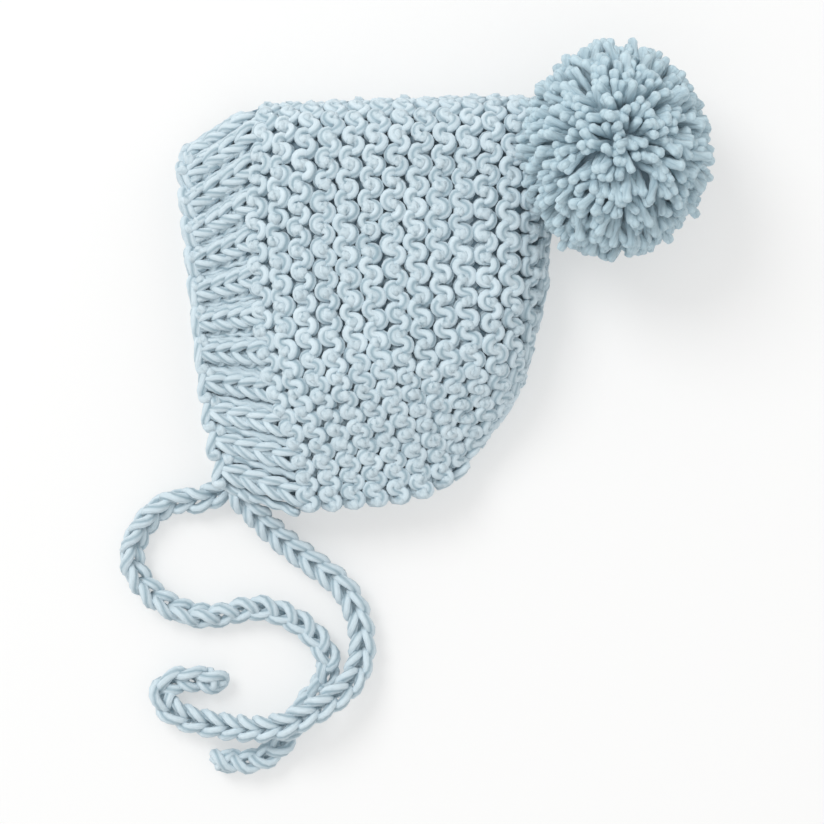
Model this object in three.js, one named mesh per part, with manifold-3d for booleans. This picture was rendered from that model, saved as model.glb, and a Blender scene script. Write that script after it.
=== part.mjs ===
// A baby bonnet in chunky knit, lying on its side on a table, with its two ties loose beside it.
//
// The hood is one strip of garter stitch, folded over the crown and sewn up the back. It lies as two
// layers that meet along the crown fold and the back seam, and it stays open at the face and at the
// neck. A ribbed band runs round the face opening, a pompom sits on the peak, and a tie leaves each
// lower corner of the band.
//
// Millimetres. X runs from the face edge to the back of the head, Y from the neck up to the crown,
// and Z up from the table. The origin is on the table, under the middle of hood, band and pompom.

import * as THREE from "three";
import { mergeVertices } from "three/addons/utils/BufferGeometryUtils.js";
import Module from "manifold-3d";

// ---- Driving dimensions --------------------------------------------------------------------------

const HALF_LENGTH = 117.5; // face edge to the far side of the pompom, halved
const HALF_WIDTH = 102.8; // neck edge to the top of the pompom, halved

const WALL = 8; // one layer of the knitting
const GAP = 0.35; // clearance left between pieces that touch

const FOLD_HEIGHT = 14; // the crown fold and the back seam above the table
const FOLD_REACH = 28; // how far in from a fold its rounding runs
const MIDDLE_HEIGHT = 44; // top of the hood over the head hollow
const RIM_HEIGHT = 27; // top of the upper layer at the face and neck edges
const RIM_REACH = 62; // how far in from a rim the hood climbs to its full height
const PEAK_LIFT = 13; // how far the pompom raises the peak off the table
const PEAK_REACH = 72; // how far from the peak that lift is felt
const UNDERSIDE_SINK = 0.8; // depth pressed away where the lower layer lies flat

const POMPOM_RADII = { x: 43, y: 48, z: 44.5 };
const POMPOM_PRESS = 1; // how far the pompom is flattened against the table

const TIE_RADIUS = 6.2;
const TIE_REST = TIE_RADIUS + 0.2; // centre height of a tie that lies on the table

// Mesh fineness
const COLUMNS = { hood: 24, band: 5 };
const ROWS = 25;
const EDGE_SAMPLES = 48;
const POMPOM_DETAIL = 8;
const TIE_STEPS = 32;
const TIE_SIDES = 10;
const CUTTER = 20; // how far a cutting body overshoots an open edge
const CUTTER_ONSET = 8; // power that keeps that overshoot close to the open edge
const JOIN_OVERSHOOT = 4; // how far a cutting body overshoots the join of hood and band
const SLAB_DEPTH = 30; // depth of the body that trims everything flat at the table
const LEAST_ROUNDING = 0.3; // nearest to a fold that a height is worked out, so that skins stay apart

// ---- Outline of the hood and band, seen from above -----------------------------------------------

const EDGES = {
  // front fold of the band, up to where the garter stitch starts
  bandCrown: [
    { x: -HALF_LENGTH, y: 58 },
    { x: -102, y: 68.5 },
    { x: -87.5, y: 77 },
  ],
  // fold along the top of the head, up to the peak
  hoodCrown: [
    { x: -87.5, y: 77 },
    { x: -65, y: 79.5 },
    { x: -20, y: 81.5 },
    { x: 21, y: 82 },
    { x: 59, y: 79 },
  ],
  // back seam, from the peak down to the nape
  seam: [
    { x: 59, y: 79 },
    { x: 56, y: 58 },
    { x: 49, y: 24 },
    { x: 46, y: -5 },
    { x: 42, y: -23 },
    { x: 35, y: -48 },
    { x: 22, y: -69 },
    { x: 10, y: -82.5 },
  ],
  // neck edge of the hood, from the band to the nape
  hoodNeck: [
    { x: -70.5, y: -101.5 },
    { x: -60.4, y: -HALF_WIDTH },
    { x: -33.5, y: -100.5 },
    { x: -11, y: -97 },
    { x: 5, y: -88 },
    { x: 10, y: -82.5 },
  ],
  // lower end of the band, from the tie corner to the hood
  bandNeck: [
    { x: -100, y: -90.5 },
    { x: -92, y: -96 },
    { x: -82, y: -99 },
    { x: -70.5, y: -101.5 },
  ],
  // face opening, from the crown down to the tie corner
  face: [
    { x: -HALF_LENGTH, y: 58 },
    { x: -115.5, y: 35 },
    { x: -113.5, y: 8 },
    { x: -110.5, y: -28 },
    { x: -105.5, y: -63.5 },
    { x: -100, y: -90.5 },
  ],
  // where the ribbed band is joined to the garter stitch
  join: [
    { x: -87.5, y: 77 },
    { x: -92, y: 29 },
    { x: -90.5, y: -1 },
    { x: -87.5, y: -32 },
    { x: -82, y: -54.5 },
    { x: -75, y: -73 },
    { x: -71, y: -91 },
    { x: -70.5, y: -101.5 },
  ],
};

// ---- Routes of the ties, from the tie corner to the free end -------------------------------------

const CROSSING_HEIGHT = TIE_REST + 2 * TIE_RADIUS + 0.5; // the upper tie where it lies on the lower

// The upper tie leaves the upper layer, swings out under the neck and crosses over the lower tie.
const UPPER_TIE = [
  { x: -94.5, y: -93.5, z: 20 },
  { x: -90, y: -100, z: 17.5 },
  { x: -84, y: -107, z: 12.5 },
  { x: -77, y: -114.5, z: 8.5 },
  { x: -69, y: -121.5, z: TIE_REST },
  { x: -57, y: -130.5, z: TIE_REST },
  { x: -47, y: -138.5, z: TIE_REST },
  { x: -40.5, y: -149, z: TIE_REST },
  { x: -37.5, y: -161, z: TIE_REST },
  { x: -38, y: -173, z: 8 },
  { x: -43, y: -183, z: 13 },
  { x: -51, y: -189.5, z: 17.5 },
  { x: -60, y: -195, z: CROSSING_HEIGHT },
  { x: -72, y: -200.5, z: CROSSING_HEIGHT },
  { x: -84, y: -203, z: 15 },
  { x: -96, y: -203, z: 8.5 },
  { x: -108, y: -201.5, z: TIE_REST },
  { x: -117.5, y: -199, z: TIE_REST },
  { x: -125, y: -195, z: TIE_REST },
  { x: -128.5, y: -189, z: TIE_REST },
  { x: -126, y: -183.5, z: TIE_REST },
  { x: -119, y: -181, z: TIE_REST },
  { x: -109, y: -181, z: TIE_REST },
  { x: -97, y: -183.5, z: TIE_REST },
];

// The lower tie leaves the lower layer, loops out in front of the face and tucks under the other.
const LOWER_TIE = [
  { x: -97, y: -94, z: TIE_REST },
  { x: -104, y: -97, z: TIE_REST },
  { x: -112, y: -99.5, z: TIE_REST },
  { x: -120, y: -99.5, z: TIE_REST },
  { x: -127, y: -101.5, z: TIE_REST },
  { x: -133.5, y: -106.5, z: TIE_REST },
  { x: -139, y: -113.5, z: TIE_REST },
  { x: -142.5, y: -121.5, z: TIE_REST },
  { x: -142.5, y: -130, z: TIE_REST },
  { x: -138.5, y: -137.5, z: TIE_REST },
  { x: -132, y: -144.5, z: TIE_REST },
  { x: -123, y: -150, z: TIE_REST },
  { x: -114, y: -153, z: TIE_REST },
  { x: -105, y: -153, z: TIE_REST },
  { x: -96, y: -151, z: TIE_REST },
  { x: -85, y: -149.5, z: TIE_REST },
  { x: -76, y: -151.5, z: TIE_REST },
  { x: -67, y: -156, z: TIE_REST },
  { x: -59.5, y: -162.5, z: TIE_REST },
  { x: -54.5, y: -170, z: TIE_REST },
  { x: -53.5, y: -178, z: TIE_REST },
  { x: -57.5, y: -186, z: TIE_REST },
  { x: -64, y: -193.5, z: TIE_REST },
  { x: -69.5, y: -201.5, z: TIE_REST },
  { x: -73.5, y: -209.5, z: TIE_REST },
  { x: -81, y: -216.5, z: TIE_REST },
  { x: -92, y: -219.5, z: TIE_REST },
  { x: -108, y: -216.5, z: TIE_REST },
];

// ---- Solids --------------------------------------------------------------------------------------

const wasm = await Module();
wasm.setup();

// Turns a closed three.js geometry into a solid that can be joined and cut.
function solidOf(geometry) {
  const bare = geometry.clone();
  bare.deleteAttribute("normal");
  bare.deleteAttribute("uv");
  const welded = mergeVertices(bare);
  const corners = welded.index.array;
  const kept = [];
  for (let i = 0; i < corners.length; i += 3) {
    const [a, b, c] = [corners[i], corners[i + 1], corners[i + 2]];
    if (a !== b && b !== c && c !== a) kept.push(a, b, c);
  }
  return new wasm.Manifold(
    new wasm.Mesh({
      numProp: 3,
      vertProperties: new Float32Array(welded.attributes.position.array),
      triVerts: new Uint32Array(kept),
    }),
  );
}

// Turns a finished solid into a named mesh.
function meshOf(name, solid, colour, roughness) {
  const { vertProperties, triVerts } = solid.getMesh();
  const geometry = new THREE.BufferGeometry();
  geometry.setAttribute("position", new THREE.BufferAttribute(new Float32Array(vertProperties), 3));
  geometry.setIndex(new THREE.BufferAttribute(new Uint32Array(triVerts), 1));
  geometry.computeVertexNormals();
  const material = new THREE.MeshStandardMaterial({ color: colour, roughness, metalness: 0 });
  const mesh = new THREE.Mesh(geometry, material);
  mesh.name = name;
  return mesh;
}

// Everything below the table top, which trims what rests on it flat.
function belowTable() {
  const slab = new THREE.BoxGeometry(6 * HALF_LENGTH, 6 * HALF_WIDTH, SLAB_DEPTH);
  slab.translate(0, 0, -SLAB_DEPTH / 2);
  return solidOf(slab);
}

// Cuts a piece back from a neighbour by GAP on every side, by moving the neighbour each way in turn.
function clearOf(piece, neighbourAt) {
  let left = piece;
  for (const axis of [0, 1, 2]) {
    for (const way of [-GAP, GAP]) {
      left = left.subtract(neighbourAt(new THREE.Vector3().setComponent(axis, way)));
    }
  }
  return left;
}

// ---- The shape that the hood and the band share --------------------------------------------------

const curves = {};
for (const [name, rows] of Object.entries(EDGES)) {
  curves[name] = new THREE.SplineCurve(rows.map(({ x, y }) => new THREE.Vector2(x, y)));
}
const PEAK = curves.seam.getPointAt(0);

function segmentsOf(...names) {
  const lines = [];
  for (const name of names) {
    const points = curves[name].getSpacedPoints(EDGE_SAMPLES).map((p) => new THREE.Vector3(p.x, p.y, 0));
    for (let i = 1; i < points.length; i += 1) lines.push(new THREE.Line3(points[i - 1], points[i]));
  }
  return lines;
}

const boundary = {
  crown: segmentsOf("bandCrown", "hoodCrown"),
  seam: segmentsOf("seam"),
  neck: segmentsOf("bandNeck", "hoodNeck"),
  face: segmentsOf("face"),
};

function distanceTo(edge, point) {
  const spot = new THREE.Vector3(point.x, point.y, 0);
  const nearest = new THREE.Vector3();
  let best = Infinity;
  for (const line of boundary[edge]) {
    line.closestPointToPoint(spot, true, nearest);
    best = Math.min(best, nearest.distanceTo(spot));
  }
  return best;
}

// A quarter round: 0 at a folded edge and 1 where the rounding ends.
function quarterRound(t) {
  const within = THREE.MathUtils.clamp(t, 0, 1);
  return Math.sqrt(1 - (1 - within) ** 2);
}

// Heights of one skin at a point. inset is 0 for the outside of the knitting and WALL for its inside.
function heightsAt(point, inset) {
  const rounding = (edge) => {
    const inward = Math.max(distanceTo(edge, point) - inset, LEAST_ROUNDING);
    return quarterRound(inward / (FOLD_REACH - inset));
  };
  const full = rounding("crown") * rounding("seam");
  const lift = PEAK_LIFT * (1 - THREE.MathUtils.smoothstep(point.distanceTo(PEAK), 0, PEAK_REACH));
  const climb =
    THREE.MathUtils.smoothstep(distanceTo("face", point), 0, RIM_REACH) *
    THREE.MathUtils.smoothstep(distanceTo("neck", point), 0, RIM_REACH);
  const fold = FOLD_HEIGHT + lift;
  const top = RIM_HEIGHT + (MIDDLE_HEIGHT - RIM_HEIGHT) * climb + lift / 4 - inset;
  const bottom = inset - UNDERSIDE_SINK + lift;
  return { fold, top: fold + (top - fold) * full, bottom: fold + (bottom - fold) * full };
}

// Fills the space between four edges: p runs from the left edge to the right, q from top to bottom.
function patchOf(top, right, bottom, left) {
  const mix = (a, b, t) => a.clone().lerp(b, t);
  return (p, q) => {
    const across = mix(left.getPointAt(q), right.getPointAt(q), p);
    const down = mix(top.getPointAt(p), bottom.getPointAt(p), q);
    const upper = mix(top.getPointAt(0), top.getPointAt(1), p);
    const lower = mix(bottom.getPointAt(0), bottom.getPointAt(1), p);
    return across.add(down).sub(mix(upper, lower, q));
  };
}

// The inward normal of an edge whose inside lies on its right hand.
function inwardOf(curve, t) {
  const along = curve.getTangentAt(t);
  return new THREE.Vector2(along.y, -along.x);
}

// Bends a box of columns and rows into one layer-shaped body. Its left and right sides are the edges
// p = 0 and p = 1, its far side is the crown and its near side the neck. Where an edge is folded, the
// top and bottom skins meet on it.
function bentBox(columns, shape) {
  const geometry = new THREE.BoxGeometry(1, 1, 1, columns, ROWS, 1);
  const place = geometry.attributes.position;
  for (let i = 0; i < place.count; i += 1) {
    const p = shape.spread(place.getX(i) + 0.5);
    const q = 1 - Math.cos(((0.5 - place.getY(i)) * Math.PI) / 2);
    const point = shape.pointAt(p, q);
    const heights = heightsAt(point, shape.inset);
    const folded = q < 1e-6 || (shape.seamed && p > 1 - 1e-6);
    const skin = place.getZ(i) > 0 ? heights.top : heights.bottom;
    place.setXYZ(i, point.x, point.y, folded ? heights.fold : skin);
  }
  return geometry;
}

// The inside of a knitted layer: set in by WALL at folded edges, run out past the open ones.
function hollowPoint(patch, edges, p, q) {
  const point = patch(p, q);
  point.addScaledVector(inwardOf(edges.top, p), WALL * (1 - q) ** 2);
  if (edges.seam) point.addScaledVector(inwardOf(edges.seam, q), WALL * p ** 2);
  if (!edges.seam) point.x += JOIN_OVERSHOOT * p ** 2;
  point.x -= CUTTER * (1 - p) ** CUTTER_ONSET;
  point.y -= CUTTER * q ** CUTTER_ONSET;
  return point;
}

// ---- Hood ----------------------------------------------------------------------------------------

const hoodPatch = patchOf(curves.hoodCrown, curves.seam, curves.hoodNeck, curves.join);
const towardsSeam = (t) => Math.sin((t * Math.PI) / 2);

function hoodOutside(shift = new THREE.Vector3()) {
  const shape = { spread: towardsSeam, pointAt: hoodPatch, inset: 0, seamed: true };
  return solidOf(bentBox(COLUMNS.hood, shape).translate(...shift.toArray()));
}

function hoodHollow() {
  const edges = { top: curves.hoodCrown, seam: curves.seam };
  const pointAt = (p, q) => hollowPoint(hoodPatch, edges, p, q);
  return solidOf(bentBox(COLUMNS.hood, { spread: towardsSeam, pointAt, inset: WALL, seamed: true }));
}

// ---- Face band -----------------------------------------------------------------------------------

const bandPatch = patchOf(curves.bandCrown, curves.join, curves.bandNeck, curves.face);
const evenly = (t) => t;

function bandOutside(shift = new THREE.Vector3()) {
  const shape = { spread: evenly, pointAt: bandPatch, inset: 0, seamed: false };
  return solidOf(bentBox(COLUMNS.band, shape).translate(...shift.toArray()));
}

function bandHollow() {
  const pointAt = (p, q) => hollowPoint(bandPatch, { top: curves.bandCrown }, p, q);
  return solidOf(bentBox(COLUMNS.band, { spread: evenly, pointAt, inset: WALL, seamed: false }));
}

// ---- Pompom --------------------------------------------------------------------------------------

function pompomBody() {
  const ball = new THREE.IcosahedronGeometry(1, POMPOM_DETAIL);
  ball.scale(POMPOM_RADII.x, POMPOM_RADII.y, POMPOM_RADII.z);
  ball.translate(HALF_LENGTH - POMPOM_RADII.x, HALF_WIDTH - POMPOM_RADII.y, POMPOM_RADII.z - POMPOM_PRESS);
  return solidOf(ball);
}

// ---- Ties ----------------------------------------------------------------------------------------

function tieBody(route) {
  const path = new THREE.CatmullRomCurve3(route.map(({ x, y, z }) => new THREE.Vector3(x, y, z)));
  const section = new THREE.Shape().absarc(0, 0, TIE_RADIUS, 0, 2 * Math.PI);
  const cord = new THREE.ExtrudeGeometry(section, {
    steps: TIE_STEPS,
    curveSegments: TIE_SIDES / 2,
    extrudePath: path,
  });
  return solidOf(cord);
}

// ---- Assembly ------------------------------------------------------------------------------------

const table = belowTable();
const hood = hoodOutside().subtract(hoodHollow()).subtract(table);
const band = clearOf(bandOutside().subtract(bandHollow()), hoodOutside).subtract(table);
const pompom = clearOf(pompomBody(), hoodOutside).subtract(table);
const upperTie = clearOf(tieBody(UPPER_TIE), bandOutside);
const lowerTie = clearOf(tieBody(LOWER_TIE), bandOutside);

const BLUE_KNIT = 0xb4cbd6;
const BLUE_RIB = 0xb0c8d4;
const BLUE_STRANDS = 0xa9c4d1;
const BLUE_BRAID = 0xb7ced8;

const bonnet = new THREE.Group();
bonnet.add(meshOf("hood", hood, BLUE_KNIT, 0.92));
bonnet.add(meshOf("face_band", band, BLUE_RIB, 0.92));
bonnet.add(meshOf("pompom", pompom, BLUE_STRANDS, 0.95));
bonnet.add(meshOf("tie_upper", upperTie, BLUE_BRAID, 0.9));
bonnet.add(meshOf("tie_lower", lowerTie, BLUE_BRAID, 0.9));

export default bonnet;
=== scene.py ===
# %% [markdown]
# # A baby bonnet in chunky knit
# The real thing is a strip of garter stitch folded over the crown and sewn up the back, with a ribbed
# band round the face, a pompom on the peak and two ties. It lies on its side, so we see one layer.
# Thick yarn is the whole look of it, so almost every stitch here is a real piece of yarn. We could
# fake stitches with a bump map, but yarn this thick shows its roundness and its deep gaps.
# The frame below already holds the plain solids at their real size. We lay the yarn along them.

import math

import bmesh
import bpy
import numpy as np
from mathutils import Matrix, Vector


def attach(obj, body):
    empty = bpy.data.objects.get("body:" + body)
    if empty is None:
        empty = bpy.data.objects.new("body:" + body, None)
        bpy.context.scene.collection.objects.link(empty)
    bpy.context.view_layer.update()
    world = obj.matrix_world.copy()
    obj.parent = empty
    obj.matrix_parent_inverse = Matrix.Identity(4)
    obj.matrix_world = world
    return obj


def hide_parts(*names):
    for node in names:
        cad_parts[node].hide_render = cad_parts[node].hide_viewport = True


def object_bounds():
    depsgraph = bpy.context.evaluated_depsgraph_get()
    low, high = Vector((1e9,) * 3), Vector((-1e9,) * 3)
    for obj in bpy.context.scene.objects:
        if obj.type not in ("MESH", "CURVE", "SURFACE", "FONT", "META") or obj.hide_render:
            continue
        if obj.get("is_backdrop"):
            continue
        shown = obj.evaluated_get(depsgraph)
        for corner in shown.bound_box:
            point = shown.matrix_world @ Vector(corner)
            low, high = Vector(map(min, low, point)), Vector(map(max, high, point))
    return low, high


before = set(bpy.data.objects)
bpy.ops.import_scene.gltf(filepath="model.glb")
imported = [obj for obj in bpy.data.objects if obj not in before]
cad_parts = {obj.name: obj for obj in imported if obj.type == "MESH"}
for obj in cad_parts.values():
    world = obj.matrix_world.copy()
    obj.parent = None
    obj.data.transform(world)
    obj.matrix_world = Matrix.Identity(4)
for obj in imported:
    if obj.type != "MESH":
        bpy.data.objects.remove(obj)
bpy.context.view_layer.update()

# %% [markdown]
# ## Camera
# The bonnet is looked at from straight above. A long lens from over a metre away keeps the tall
# pompom from leaning outwards. The camera comes first, because the loose ties must end up in its view.

# %% Camera over the bonnet
VIEW_WIDTH = 0.3708  # how much of the table the picture shows, side to side
SHARP_HEIGHT = 0.020  # the height at which that width is measured, about the middle of the knit
CAMERA_HEIGHT = 1.15
VIEW_CENTRE = (-0.0145, -0.0600)  # towards the ties, which lie below the bonnet

scene = bpy.context.scene
camera_data = bpy.data.cameras.new("camera")
camera_data.sensor_width = 36
camera_data.lens = camera_data.sensor_width * (CAMERA_HEIGHT - SHARP_HEIGHT) / VIEW_WIDTH
camera_data.clip_start, camera_data.clip_end = 0.05, 20
camera = bpy.data.objects.new("camera", camera_data)
camera.location = (*VIEW_CENTRE, CAMERA_HEIGHT)
scene.collection.objects.link(camera)
scene.camera = camera
print("lens:", round(camera_data.lens, 1), "mm")

# %% [markdown]
# ## Lengths of yarn
# Everything on this bonnet is the same three-ply yarn. One helper turns a path into yarn: a ring of
# points is carried along the path without spinning, and then turned a little at each step, so that the
# three plies wind round. A ring with three shallow grooves gives the plies as real shape.
# Blender's own bevelled curves could do it too, but they have no plies, and hundreds of curve objects
# are slow. Here the rings of all the lengths are joined into one mesh from arrays.

# %% Directions and lengths along a path
def frames_along(points):
    """Tangent, side and up vectors along a path, carried from step to step without spinning."""
    ahead = np.gradient(points, axis=0)
    ahead /= np.linalg.norm(ahead, axis=1)[:, None] + 1e-12
    side = np.empty_like(ahead)
    start = np.cross(ahead[0], (0.0, 0.0, 1.0))
    if np.linalg.norm(start) < 0.1:
        start = np.cross(ahead[0], (1.0, 0.0, 0.0))
    side[0] = start / np.linalg.norm(start)
    for i in range(1, len(points)):
        carried = side[i - 1] - ahead[i] * np.dot(side[i - 1], ahead[i])
        side[i] = carried / (np.linalg.norm(carried) + 1e-12)
    return ahead, side, np.cross(ahead, side)


def lengths_along(points):
    """Distance from the start of a path to each of its points."""
    steps = np.linalg.norm(np.diff(points, axis=0), axis=1)
    return np.concatenate([[0.0], np.cumsum(steps)])


print("a path round two sides of a square:", lengths_along(np.array([(0, 0), (1, 0), (1, 1)]))[-1], "long")

# %% A pile of yarn that becomes one mesh
PLIES = 3
PLY_LIFT = 0.19  # how much of the yarn's radius a groove between plies cuts away
CUT_PLY_LIFT = 0.07  # the same for the pompom's strands, whose plies have opened up
GROOVE_SHARPNESS = 3
TWIST_LENGTH = 0.042  # one full turn of the plies
TABLE_GAP = 0.0002


class YarnPile:
    """Lengths of yarn that are joined into one mesh, each a closed tube with grooves between its plies."""

    def __init__(self, sides, ply_lift=PLY_LIFT):
        self.sides = sides
        self.ply_lift = ply_lift
        self.corners, self.faces, self.marks, self.tones = [], [], [], []
        self.count = 0

    def lay(self, points, radius, turn=0.0, tone=0.5, blunt=0.35, twist=TWIST_LENGTH):
        """Adds one length. radius and tone, its shade, are one number or one for each point."""
        points = np.asarray(points, float)
        steps = len(points)
        radius = np.broadcast_to(radius, steps)
        ahead, side, up = frames_along(points)
        along = lengths_along(points)
        round_it = np.arange(self.sides) / self.sides * 2 * math.pi
        groove = 1 - self.ply_lift * np.maximum(0.0, np.cos(PLIES * round_it)) ** GROOVE_SHARPNESS
        angle = round_it[None, :] + (turn + along / twist * 2 * math.pi)[:, None]
        spoke = side[:, None, :] * np.cos(angle)[..., None] + up[:, None, :] * np.sin(angle)[..., None]
        ring = points[:, None, :] + spoke * (radius[:, None] * groove[None, :])[..., None]
        tip_first = points[0] - ahead[0] * radius[0] * blunt
        tip_last = points[-1] + ahead[-1] * radius[-1] * blunt
        rim = np.arange(self.sides)
        rim_next = (rim + 1) % self.sides
        row = self.count + np.arange(steps - 1)[:, None] * self.sides
        a, b = row + rim, row + rim_next
        walls = np.stack([a, b, b + self.sides, a + self.sides], axis=-1).reshape(-1, 4)
        base, end = self.count, self.count + (steps - 1) * self.sides
        first, last = end + self.sides, end + self.sides + 1
        caps = [(first, base + j, base + i) for i, j in zip(rim, rim_next)]
        caps += [(last, end + i, end + j) for i, j in zip(rim, rim_next)]
        self.corners.append(np.vstack([ring.reshape(-1, 3), tip_first, tip_last]))
        self.faces.append((walls, np.array(caps)))
        mark = np.broadcast_arrays(along[:, None], np.cos(round_it), np.sin(round_it))
        mark = np.stack(mark, axis=-1)
        self.marks.append(np.vstack([mark.reshape(-1, 3), [(along[0], 0, 0), (along[-1], 0, 0)]]))
        # depth is 1 on the crest of a ply and lower in its grooves; the yarn material turns it into painted
        # shade in the grooves and a painted highlight on the crests
        depth = np.broadcast_to(1 - (1 - groove) / PLY_LIFT, (steps, self.sides)).reshape(-1)
        tone = np.broadcast_to(tone, steps)
        shade = np.stack([np.repeat(tone, self.sides), depth], axis=-1)
        self.tones.append(np.vstack([shade, [(tone[0], 1.0), (tone[-1], 1.0)]]))
        self.count += steps * self.sides + 2

    def mesh(self, name):
        """Joins all lengths into one object, with its yarn coordinates and shades as attributes."""
        corners = np.vstack(self.corners)
        corners[:, 2] = np.maximum(corners[:, 2], TABLE_GAP)  # yarn that lies on the table is pressed flat
        walls = np.vstack([w for w, _ in self.faces])
        caps = np.vstack([c for _, c in self.faces])
        data = bpy.data.meshes.new(name)
        data.vertices.add(len(corners))
        data.vertices.foreach_set("co", corners.astype(np.float32).ravel())
        loops = np.concatenate([walls.ravel(), caps.ravel()]).astype(np.int32)
        data.loops.add(len(loops))
        data.loops.foreach_set("vertex_index", loops)
        sizes = np.concatenate([np.full(len(walls), 4), np.full(len(caps), 3)])
        data.polygons.add(len(sizes))
        starts = np.concatenate([[0], np.cumsum(sizes)[:-1]])
        data.polygons.foreach_set("loop_start", starts.astype(np.int32))
        data.polygons.foreach_set("use_smooth", np.ones(len(sizes), bool))
        data.update(calc_edges=True)
        strand = data.attributes.new("strand", "FLOAT_VECTOR", "POINT")
        strand.data.foreach_set("vector", np.vstack(self.marks).astype(np.float32).ravel())
        shade = data.attributes.new("shade", "FLOAT2", "POINT")
        shade.data.foreach_set("vector", np.vstack(self.tones).astype(np.float32).ravel())
        data.validate()
        piece = bpy.data.objects.new(name, data)
        scene.collection.objects.link(piece)
        print(name, "has", 2 * len(walls) + len(caps), "triangles")
        return piece


# %% A smooth line through given points
def smooth_line(points, samples):
    """Catmull-Rom line through points, with evenly spaced samples."""
    points = np.asarray(points, float)
    padded = np.vstack([2 * points[0] - points[1], points, 2 * points[-1] - points[-2]])
    t = np.linspace(0, len(points) - 1 - 1e-9, samples * 4)
    i = t.astype(int)
    f = (t - i)[:, None]
    p0, p1, p2, p3 = padded[i], padded[i + 1], padded[i + 2], padded[i + 3]
    line = 0.5 * (2 * p1 + (p2 - p0) * f + (2 * p0 - 5 * p1 + 4 * p2 - p3) * f**2
                  + (3 * p1 - p0 - 3 * p2 + p3) * f**3)
    along = lengths_along(line)
    even = np.linspace(0, along[-1], samples)
    return np.stack([np.interp(even, along, line[:, k]) for k in range(points.shape[1])], axis=-1)


corner_cut = lengths_along(smooth_line([(0, 0), (1, 0), (1, 1)], 50))[-1]
print("the same path, smoothed:", round(corner_cut, 3), "long")

# %% [markdown]
# ## The ties
# Each tie is a crocheted chain: every stitch is a loop pulled through the one before. From the front
# a chain shows a row of Vs, and from the back a row of bumps, so one length of yarn, led through every
# loop in turn, looks right from all sides. A braided texture on a tube would only look right from one.
# The two routes are the same points that the solids of the frame follow, in metres.

# %% Routes of the ties
TIE_RADIUS = 0.0062
TIE_REST = 0.0064  # centre height of a tie that lies on the table
TIE_CROSSING = TIE_REST + 2 * TIE_RADIUS + 0.0005  # centre height where one tie lies on the other

UPPER_TIE = [
    (-0.0945, -0.0935, 0.0200), (-0.0900, -0.1000, 0.0175), (-0.0840, -0.1070, 0.0125),
    (-0.0770, -0.1145, 0.0085), (-0.0690, -0.1215, TIE_REST), (-0.0570, -0.1305, TIE_REST),
    (-0.0470, -0.1385, TIE_REST), (-0.0405, -0.1490, TIE_REST), (-0.0375, -0.1610, TIE_REST),
    (-0.0380, -0.1730, 0.0080), (-0.0430, -0.1830, 0.0130), (-0.0510, -0.1895, 0.0175),
    (-0.0600, -0.1950, TIE_CROSSING), (-0.0720, -0.2005, TIE_CROSSING), (-0.0840, -0.2030, 0.0150),
    (-0.0960, -0.2030, 0.0085), (-0.1080, -0.2015, TIE_REST), (-0.1175, -0.1990, TIE_REST),
    (-0.1250, -0.1950, TIE_REST), (-0.1285, -0.1890, TIE_REST), (-0.1260, -0.1835, TIE_REST),
    (-0.1190, -0.1810, TIE_REST), (-0.1090, -0.1810, TIE_REST), (-0.0970, -0.1835, TIE_REST),
]
LOWER_TIE = [
    (-0.0970, -0.0940, TIE_REST), (-0.1040, -0.0970, TIE_REST), (-0.1120, -0.0995, TIE_REST),
    (-0.1200, -0.0995, TIE_REST), (-0.1270, -0.1015, TIE_REST), (-0.1335, -0.1065, TIE_REST),
    (-0.1390, -0.1135, TIE_REST), (-0.1425, -0.1215, TIE_REST), (-0.1425, -0.1300, TIE_REST),
    (-0.1385, -0.1375, TIE_REST), (-0.1320, -0.1445, TIE_REST), (-0.1230, -0.1500, TIE_REST),
    (-0.1140, -0.1530, TIE_REST), (-0.1050, -0.1530, TIE_REST), (-0.0960, -0.1510, TIE_REST),
    (-0.0850, -0.1495, TIE_REST), (-0.0760, -0.1515, TIE_REST), (-0.0670, -0.1560, TIE_REST),
    (-0.0595, -0.1625, TIE_REST), (-0.0545, -0.1700, TIE_REST), (-0.0535, -0.1780, TIE_REST),
    (-0.0575, -0.1860, TIE_REST), (-0.0640, -0.1935, TIE_REST), (-0.0695, -0.2015, TIE_REST),
    (-0.0735, -0.2095, TIE_REST), (-0.0810, -0.2165, TIE_REST), (-0.0920, -0.2195, TIE_REST),
    (-0.1080, -0.2165, TIE_REST),
]

# %% Chain stitches along a route
YARN_RADIUS = 0.00245
CHAIN_PITCH = 0.0090
CHAIN_HALF_WIDTH = 0.0043  # from the tie's middle line to the middle of the yarn at its sides
CHAIN_HALF_DEPTH = 0.0037
CHAIN_SAMPLES = 22  # points of yarn to one stitch
KNOT_ROOM = 0.75  # how much of a stitch the fastened end takes
ROUTE_SAMPLES = 400
YARN_SIDES = 12

# One stitch of chain: ahead in stitches, aside in half widths, up in half depths
CHAIN_LOOP = [
    (0.02, 0.16, -0.50),  # comes up through the loop below
    (0.32, 0.42, 0.62),
    (0.72, 0.80, 0.86),  # front arm
    (1.08, 0.98, 0.30),
    (1.36, 0.55, -0.30),  # head of the loop, under the next stitch
    (1.36, -0.55, -0.30),
    (1.08, -0.98, 0.30),
    (0.72, -0.80, 0.86),  # the other arm
    (0.32, -0.42, 0.62),
    (0.02, -0.16, -0.50),
    (0.50, 0.00, -0.95),  # bump at the back, on to the next stitch
]
CHAIN_KNOT = [  # the fastened end, past the last stitch
    (0.75, 0.75, 0.00), (1.00, 0.00, 0.95), (0.75, -0.75, 0.10), (0.55, -0.10, -0.90), (0.95, 0.60, -0.30),
    (1.20, 0.10, 0.30), (1.45, -0.05, 0.00),
]


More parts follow.
